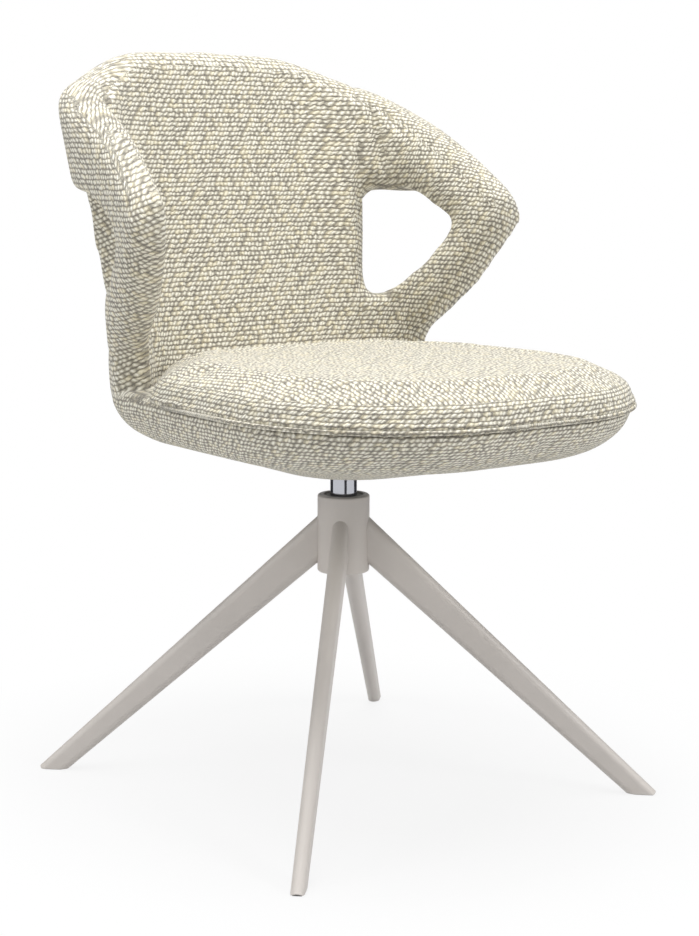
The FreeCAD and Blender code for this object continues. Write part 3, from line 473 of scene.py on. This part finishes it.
def settle(skin):
    """Full shoulders where back and arms meet, and a round belly under the seat."""
    points = np.array([vert.co for vert in skin.verts])
    side, distance, turn, across, _ = on_wall(points)
    height = points[:, 2]
    outer = np.clip(across / WALL_HALF / 2 + 0.5, 0, 1) * (height > SEAM_HEIGHT)
    outward = np.stack([side * np.sin(turn), np.cos(turn)], axis=1)
    onward = np.stack([side * np.cos(turn), -np.sin(turn)], axis=1)
    shoulder = SHOULDER_MOST * hump(distance, SHOULDER_DISTANCE, SHOULDER_SPREAD)
    shoulder *= eased(height, SHOULDER_LOW, SHOULDER_FULL)
    waist = hump(height, WAIST_HEIGHT, WAIST_RISE) * hump(distance, WAIST_DISTANCE, WAIST_SPREAD)
    shoulder -= WAIST_MOST * waist
    points[:, :2] += outward * (outer * shoulder)[:, None]
    lip = LIP_MOST * hump(distance, LIP_DISTANCE, LIP_SPREAD)
    lip *= eased(height, LIP_LOW, LIP_FULL)
    lip *= eased(-height, -LIP_TOP, -LIP_FADES)
    points[:, :2] += onward * (outer * lip)[:, None]
    depth = np.clip((SEAM_HEIGHT - height) / BELLY_DEPTH, 0, 1)
    reach = np.hypot(points[:, 0], points[:, 1] - AXIS_REAR)
    draw = 1 - BELLY_DRAW * np.minimum(depth, BELLY_DRAW_ENDS)
    points[:, 0] *= draw
    points[:, 1] = MIDDLE + (points[:, 1] - MIDDLE) * draw + BELLY_BACK * depth
    points[:, 2] -= BELLY_SAG * depth * eased(reach, SAG_STARTS, SAG_FULL)
    for vert, place in zip(skin.verts, points):
        vert.co = place


# Where each cover's rows run: level along the wall and its crest, and round the bowl's side.
FACE_SLIP = 0.35
CREST_STARTS = 0.6
CREST_ENDS = math.radians(150)
FRONT_FACES = 0.5
RIM_STEPS = 120
BELOW_SEAM = 0.012


def weave(obj, laid):
    """Store where each point lies on the cloth: along its rows, across them, and on which panel."""
    count = len(obj.data.vertices)
    points = np.zeros(count * 3, np.float32)
    obj.data.vertices.foreach_get("co", points)
    normals = np.zeros(count * 3, np.float32)
    obj.data.vertex_normals.foreach_get("vector", normals)
    values = laid(points.reshape(-1, 3).astype(float), normals.reshape(-1, 3).astype(float))
    layer = obj.data.attributes.new("weave", "FLOAT_VECTOR", "POINT")
    layer.data.foreach_set("vector", np.stack(values, axis=1).astype(np.float32).ravel())


def laid_on_wall(points, normals):
    side, distance, turn, across, top = on_wall(points)
    height = points[:, 2]
    shoulder = top - CREST_ROUND
    round_over = np.arctan2(height - shoulder, -across)
    crest = shoulder - CREST_STARTS * WALL_HALF + WALL_HALF * round_over
    plain = height + FACE_SLIP * np.clip(across, -WALL_HALF, WALL_HALF)
    onward = normals[:, 0] * side * np.cos(turn) - normals[:, 1] * np.sin(turn)
    on_crest = (height > shoulder) & (round_over < CREST_ENDS) & (onward < FRONT_FACES)
    return side * distance + across, np.where(on_crest, crest, plain), np.zeros(len(points))


def rim_places(points, low):
    """Distance round the plan outline of what stands above a level, and distance in from it."""
    angle = np.arctan2(points[:, 0], -(points[:, 1] - MIDDLE))
    reach = np.hypot(points[:, 0], points[:, 1] - MIDDLE)
    steps = np.linspace(-math.pi, math.pi, RIM_STEPS + 1)
    slot = np.clip(np.searchsorted(steps, angle) - 1, 0, RIM_STEPS - 1)
    far = np.zeros(RIM_STEPS)
    np.maximum.at(far, slot, np.where(points[:, 2] > low, reach, 0))
    middles = (steps[1:] + steps[:-1]) / 2
    corner = np.stack([far * np.sin(middles), far * np.cos(middles)], axis=1)
    sides = np.linalg.norm(np.roll(corner, -1, axis=0) - corner, axis=1)
    round_it = np.concatenate([[0], np.cumsum(sides)[:-1]])
    inward = np.maximum(np.interp(angle, middles, far) - reach, 0)
    return np.interp(angle, middles, round_it), inward


def laid_on_bowl(points, normals):
    along, inward = rim_places(points, SEAM_HEIGHT - BELOW_SEAM)
    drop = np.maximum(SEAM_HEIGHT - points[:, 2], 0)
    profile = (drop + inward + np.hypot(drop, inward)) / 2
    return along, -profile, np.zeros(len(points))


# The cloth itself: cords of uneven loops, each row a ridge with its own beads and fibres. On
# the seat's top, where the third weave value is 1, the rows run straight from front to back.

ROW_PITCH = 0.0055
LOOP_PITCH = 0.006
ROW_SHIFT = 13.37
looped_cloth = Finish(
    "cream_looped_cloth", {"Roughness": 0.94, "Sheen Weight": 0.2, "Sheen Roughness": 0.6})
spot = looped_cloth.place()
cloth = looped_cloth.node("ShaderNodeAttribute", {"attribute_name": "weave"}, {}, "Vector")
laid_along, laid_across, laid_flat = [looped_cloth.split(cloth, axis) for axis in "XYZ"]
on_top = laid_flat.math("GREATER_THAN", 0.5)
along = laid_along + (looped_cloth.split(spot, "Y") - laid_along) * on_top
across = laid_across + (looped_cloth.split(spot, "X") - laid_across) * on_top
drift = looped_cloth.noise(spot, 9.0, 1.0) - 0.5
jitter = looped_cloth.noise(spot, 170.0, 1.0) - 0.5
rows = across * (1 / ROW_PITCH) + drift * 0.7 + jitter * 0.8
row = rows.math("FLOOR")
inside = rows - row
ridge = 1 - (inside * 2 - 1).math("ABSOLUTE") ** 1.8
slant = 0.55 + (looped_cloth.noise(spot, 45.0, 0.0) - 0.5) * 1.5
stitch = along * (1 / LOOP_PITCH) + row * ROW_SHIFT - (inside - 0.5) * slant + jitter * 0.5
cells = {"W": stitch, "Scale": 1.0, "Randomness": 0.7}
near = looped_cloth.node("ShaderNodeTexVoronoi", {"voronoi_dimensions": "1D"}, cells, "Distance")
own = looped_cloth.node("ShaderNodeTexVoronoi", {"voronoi_dimensions": "1D"}, cells, "Color")
own = looped_cloth.node("ShaderNodeSeparateColor", {}, [own], "Red")
bead = (1.05 - near * 2.2).kept_in(0.0, 1.0)
twisted = [stitch * 2.2, rows * 5.0 + stitch * 2.0, row]
strands = looped_cloth.node("ShaderNodeCombineXYZ", {}, twisted)
fibres = looped_cloth.noise(strands, 1.0, 3.0)
pile = ridge * (0.3 + bead * 0.7) + (fibres - 0.5) * 0.5 + (own - 0.5) * 0.25
# Colour follows the pile's height: painted shade darkens the gaps between rows and a painted
# highlight whitens the crowns of the beads, over the yarn's own cream with its uneven fibres and
# loops.
yarn_with_painted_light = looped_cloth.colours(pile, [
    (0.0, (0.16, 0.145, 0.118)), (0.23, (0.345, 0.317, 0.253)),
    (0.49, (0.59, 0.55, 0.44)), (0.85, (0.88, 0.85, 0.757))])
yellowed = (own - 0.62).kept_in(0.0, 0.3) * 1.5
golden_yarn_with_painted_light = looped_cloth.mixed(yellowed, yarn_with_painted_light, (0.86, 0.78, 0.56, 1), "MULTIPLY")
looped_cloth.feeds("Base Color", golden_yarn_with_painted_light)
looped_cloth.bumps(pile, 0.0014, 0.8)


# The skin is relaxed all over, then again where the arms and their openings were cut, which
# the real foam rounds under the cloth's pull.
BOWL_GROWTH = 0.0018
CORE_GROWTH = 0.001
WALL_GROWTH = 0.0024
SHARP_TURN = 0.42
ROUNDED_REACH = 0.016
ROUNDED_ABOVE = 0.48
ROUNDED_GROWTH = 0.002
WALL_FOOT = 0.474
EVENED_TIMES = 2
ROUNDED_TIMES = 26
WALL_TIMES = 4
shell = outer_skin({
    "bowl_foam": BOWL_GROWTH, "seat_core_foam": CORE_GROWTH, "seat_board": CORE_GROWTH,
    "back_foam": WALL_GROWTH, "arm_left_foam": WALL_GROWTH, "arm_right_foam": WALL_GROWTH})
relax(shell, EVENED_TIMES, shell.verts)
edges = cut_edges(shell, SHARP_TURN, ROUNDED_REACH)
rounded = {vert for vert in edges if vert.co.z > ROUNDED_ABOVE}
shell.normal_update()
for vert in rounded:
    vert.co += vert.normal * ROUNDED_GROWTH
relax(shell, ROUNDED_TIMES, rounded)
relax(shell, WALL_TIMES, {vert for vert in shell.verts if vert.co.z > WALL_FOOT})
settle(shell)
shell = piece_from("shell_skin", shell)

# The dish's mouth stays where it is, because its cover is stapled there.
SHELL_PRESSURE = 3.0
SHELL_TRAVEL = 0.004
MOUTH_REACH = 0.14
MOUTH_HEIGHT = 0.43


def at_mouth(co):
    return math.hypot(co.x, co.y - AXIS_REAR) < MOUTH_REACH and co.z < MOUTH_HEIGHT


swell(shell, SHELL_PRESSURE, SHELL_TRAVEL, at_mouth)
subdivided(shell)

# The seam between back and arm is a plane through the corner's centre, and pinches the skin.
CREASE_TURN = math.radians(62)
CREASE_HALF = 0.009
CREASE_DEPTH = 0.0022
CREASE_FOOT = 0.47
skin = bmesh.new()
skin.from_mesh(shell.data)
creases = []
for side in (1, -1):
    creases.append((
        Vector((side * CORNER_CENTRE[0], CORNER_CENTRE[1], 0)),
        Vector((side * math.sin(CREASE_TURN), -math.cos(CREASE_TURN), 0))))
skin.normal_update()
for vert in skin.verts:
    for centre, normal in creases:
        gap = abs((vert.co - centre).dot(normal)) / CREASE_HALF
        beside = vert.co.x * centre.x > 0 and vert.co.y > centre.y
        if gap < 1 and beside and vert.co.z > CREASE_FOOT:
            vert.co -= vert.normal * CREASE_DEPTH * (1 - gap) ** 2


def parted(skin, planes):
    """A copy of the skin on the near side of each plane, closed where it is cut."""
    copy = skin.copy()
    for centre, normal in planes:
        cut = bmesh.ops.bisect_plane(
            copy, geom=[*copy.verts, *copy.edges, *copy.faces], dist=1e-6,
            plane_co=centre, plane_no=normal, clear_outer=True)
        edges = [item for item in cut["geom_cut"] if isinstance(item, bmesh.types.BMEdge)]
        bmesh.ops.holes_fill(copy, edges=edges, sides=0)
    return copy


def clothed(obj, laid, nodes):
    """Put the looped cloth on a piece, and let it stand for its CAD nodes on the seat."""
    weave(obj, laid)
    obj.data.materials.clear()
    obj.data.materials.append(looped_cloth.material)
    faces = len(obj.data.polygons)
    obj.data.polygons.foreach_set("material_index", np.zeros(faces, np.int32))
    obj.data.polygons.foreach_set("use_smooth", np.ones(faces, bool))
    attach(obj, "seat")
    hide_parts(*nodes)


def sewn(obj, laid, nodes):
    """Clothe a cushion."""
    clothed(obj, laid, nodes)


level = Vector((0, 0, SEAM_HEIGHT))
up = Vector((0, 0, 1))
bowl = piece_from("sewn_bowl_cover", parted(skin, [(level, up)]))
sewn(bowl, laid_on_bowl, ["bowl_cover", "bowl_foam", "seat_core_foam"])
back = piece_from("sewn_back_cover", parted(skin, [(level, -up), *creases]))
sewn(back, laid_on_wall, ["back_cover", "back_foam"])
for name, (centre, normal) in zip(("left", "right"), creases):
    arm = piece_from(f"sewn_arm_{name}_cover", parted(skin, [(level, -up), (centre, -normal)]))
    sewn(arm, laid_on_wall, [f"arm_{name}_cover", f"arm_{name}_foam"])
skin.free()
bpy.data.objects.remove(shell)


# Seat pad: a foam cushion in the same cloth, crowned on top and drawn in at the seam where its
# cover is sewn to the bowl's.

PAD_GROWTH = 0.0018
PAD_SEWN_BELOW = 0.466
PAD_PRESSURE = 4.5
PAD_TRAVEL = 0.006
TOP_STEEPNESS = 0.8
TOP_BLEND = 20
SIDE_SLIP = 0.7


def laid_on_pad(points, normals):
    along, inward = rim_places(points, SEAM_HEIGHT)
    top = np.clip((normals[:, 2] - TOP_STEEPNESS) * TOP_BLEND + 0.5, 0, 1)
    return along, points[:, 2] + SIDE_SLIP * inward, top


pad = outer_skin({"seat_pad_foam": PAD_GROWTH})
relax(pad, EVENED_TIMES, pad.verts)
pad = piece_from("sewn_seat_pad_cover", pad)
swell(pad, PAD_PRESSURE, PAD_TRAVEL, lambda co: co.z < PAD_SEWN_BELOW)
subdivided(pad)
sewn(pad, laid_on_pad, ["seat_pad_cover", "seat_pad_foam"])


# Piping: a cord wrapped in a strip of the same cloth and sewn into the seam between pad and
# bowl, round the part of the pad's edge that back and arms leave free.

CORD_RADIUS = 0.0026
DRAWN_IN = 0.991


def laid_on_piping(points, normals):
    along, _ = rim_places(points, SEAM_HEIGHT - BELOW_SEAM)
    turn = np.arctan2(normals[:, 2], normals[:, 0] * np.sign(points[:, 0]) - normals[:, 1])
    return along, turn * CORD_RADIUS, np.zeros(len(points))


piping = joined_skins({"seat_piping": 0.0})
for vert in piping.verts:
    vert.co.x *= DRAWN_IN
    vert.co.y = MIDDLE + (vert.co.y - MIDDLE) * DRAWN_IN
piping = piece_from("sewn_seat_piping", piping)
clothed(piping, laid_on_piping, ["seat_piping"])


# The studio: a pale floor that whitens away from the chair, a white world, three soft lamps,
# three dark flags and the camera. None of it belongs to the chair.

FLOOR_HALF = 12.0
GREY_REACH = 0.35
GREY_FADE = 0.6
GREY_NEAR = 0.84
GREY_LOST = 0.16
studio = bmesh.new()
bmesh.ops.create_grid(studio, x_segments=1, y_segments=1, size=FLOOR_HALF)
floor = piece_from("studio_floor", studio)
pale_floor = Finish("pale_floor", {"Roughness": 0.9, "Base Color": (0.68, 0.68, 0.68, 1)})
seen = pale_floor.any_ray("Camera", "Glossy", "Transmission")
spot = pale_floor.place()
from_chair = pale_floor.node("ShaderNodeVectorMath", {"operation": "LENGTH"}, [spot], "Value")
far_off = ((from_chair - GREY_REACH) * GREY_FADE).kept_in(0.0, GREY_LOST) + GREY_NEAR
white = pale_floor.node("ShaderNodeEmission", {}, {"Color": (1, 1, 1, 1), "Strength": 1.0})
lit = Wire(pale_floor, pale_floor.shader.outputs[0])
shown = pale_floor.node("ShaderNodeMixShader", {}, [seen * far_off, lit, white])
outlet = pale_floor.tree.nodes["Material Output"]
pale_floor.tree.links.new(shown.socket, outlet.inputs["Surface"])
floor.data.materials.append(pale_floor.material)

world = bpy.data.worlds.new("studio_world")
bpy.context.scene.world = world
world.use_nodes = True
air = Nodes(world.node_tree)
glow = air.tree.nodes["Background"]
glow.inputs["Color"].default_value = (0.95, 0.97, 1.0, 1)
glow.inputs["Strength"].default_value = 0.5
bright = air.node("ShaderNodeBackground", {}, {"Color": (1, 1, 1, 1), "Strength": 1.0})
seen = air.any_ray("Camera", "Glossy")
shown = air.node("ShaderNodeMixShader", {}, [seen, Wire(air, glow.outputs[0]), bright])
air.tree.links.new(shown.socket, air.tree.nodes["World Output"].inputs["Surface"])

LAMPS_AIM = Vector((0, 0, 0.5))


def lamp(name, place, size, power):
    """A round soft lamp that points at the chair."""
    light = bpy.data.lights.new(name, "AREA")
    light.shape = "DISK"
    light.size = size
    light.energy = power
    holder = bpy.data.objects.new(name, light)
    holder.location = place
    aim = LAMPS_AIM - Vector(place)
    holder.rotation_euler = aim.to_track_quat("-Z", "Y").to_euler()
    bpy.context.scene.collection.objects.link(holder)


lamp("sky_lamp", (-0.1, -0.1, 3.2), 2.4, 92)
lamp("key_lamp", (0.9, -2.5, 1.7), 1.0, 26)
lamp("side_lamp", (-2.6, 0.6, 1.7), 1.6, 20)

# Dark flags, which only reflections show, give the polished column an edge to each side.
FLAG_DISTANCE = 1.5
FLAG_HEIGHT = 0.6
FLAG_TALL = 1.6
dark_cloth = Finish("dark_flag_cloth", {"Base Color": (0.03, 0.03, 0.035, 1), "Roughness": 1.0})
upright = Matrix.Rotation(math.radians(90), 4, "Y")
upright = Matrix.Translation((FLAG_DISTANCE, 0, FLAG_HEIGHT)) @ upright


def hang_flag(name, bearing, width):
    """A dark upright cloth, turned round the chair from the sitter's left by the bearing."""
    turned = Matrix.Rotation(math.radians(bearing), 4, "Z")
    shape = Matrix.Diagonal((FLAG_TALL, width, 1, 1))
    sheet = bmesh.new()
    bmesh.ops.create_grid(
        sheet, x_segments=1, y_segments=1, size=0.5, matrix=turned @ upright @ shape)
    flag = piece_from(name, sheet)
    flag.data.materials.append(dark_cloth.material)
    flag.visible_camera = False
    flag.visible_diffuse = False
    flag.visible_shadow = False


hang_flag("rear_left_flag", 0, 1.5)
hang_flag("rear_right_flag", 104, 1.5)
hang_flag("front_right_flag", -111, 0.55)

eye = bpy.data.cameras.new("photo_camera")
eye.lens = 74.1
eye.sensor_width = 36
camera = bpy.data.objects.new("photo_camera", eye)
camera.location = (-1.3415, -1.7097, 0.7297)
turn = math.radians(-38.076)
tilt = math.radians(80.736)
roll = math.radians(0.254)
camera.rotation_euler = (tilt, 0, turn)
rolled = camera.rotation_euler.to_matrix() @ Matrix.Rotation(roll, 3, "Z")
camera.rotation_euler = rolled.to_euler()
bpy.context.scene.collection.objects.link(camera)
bpy.context.view_layer.update()
bpy.context.scene.camera = camera
bpy.context.scene.view_settings.view_transform = "Standard"
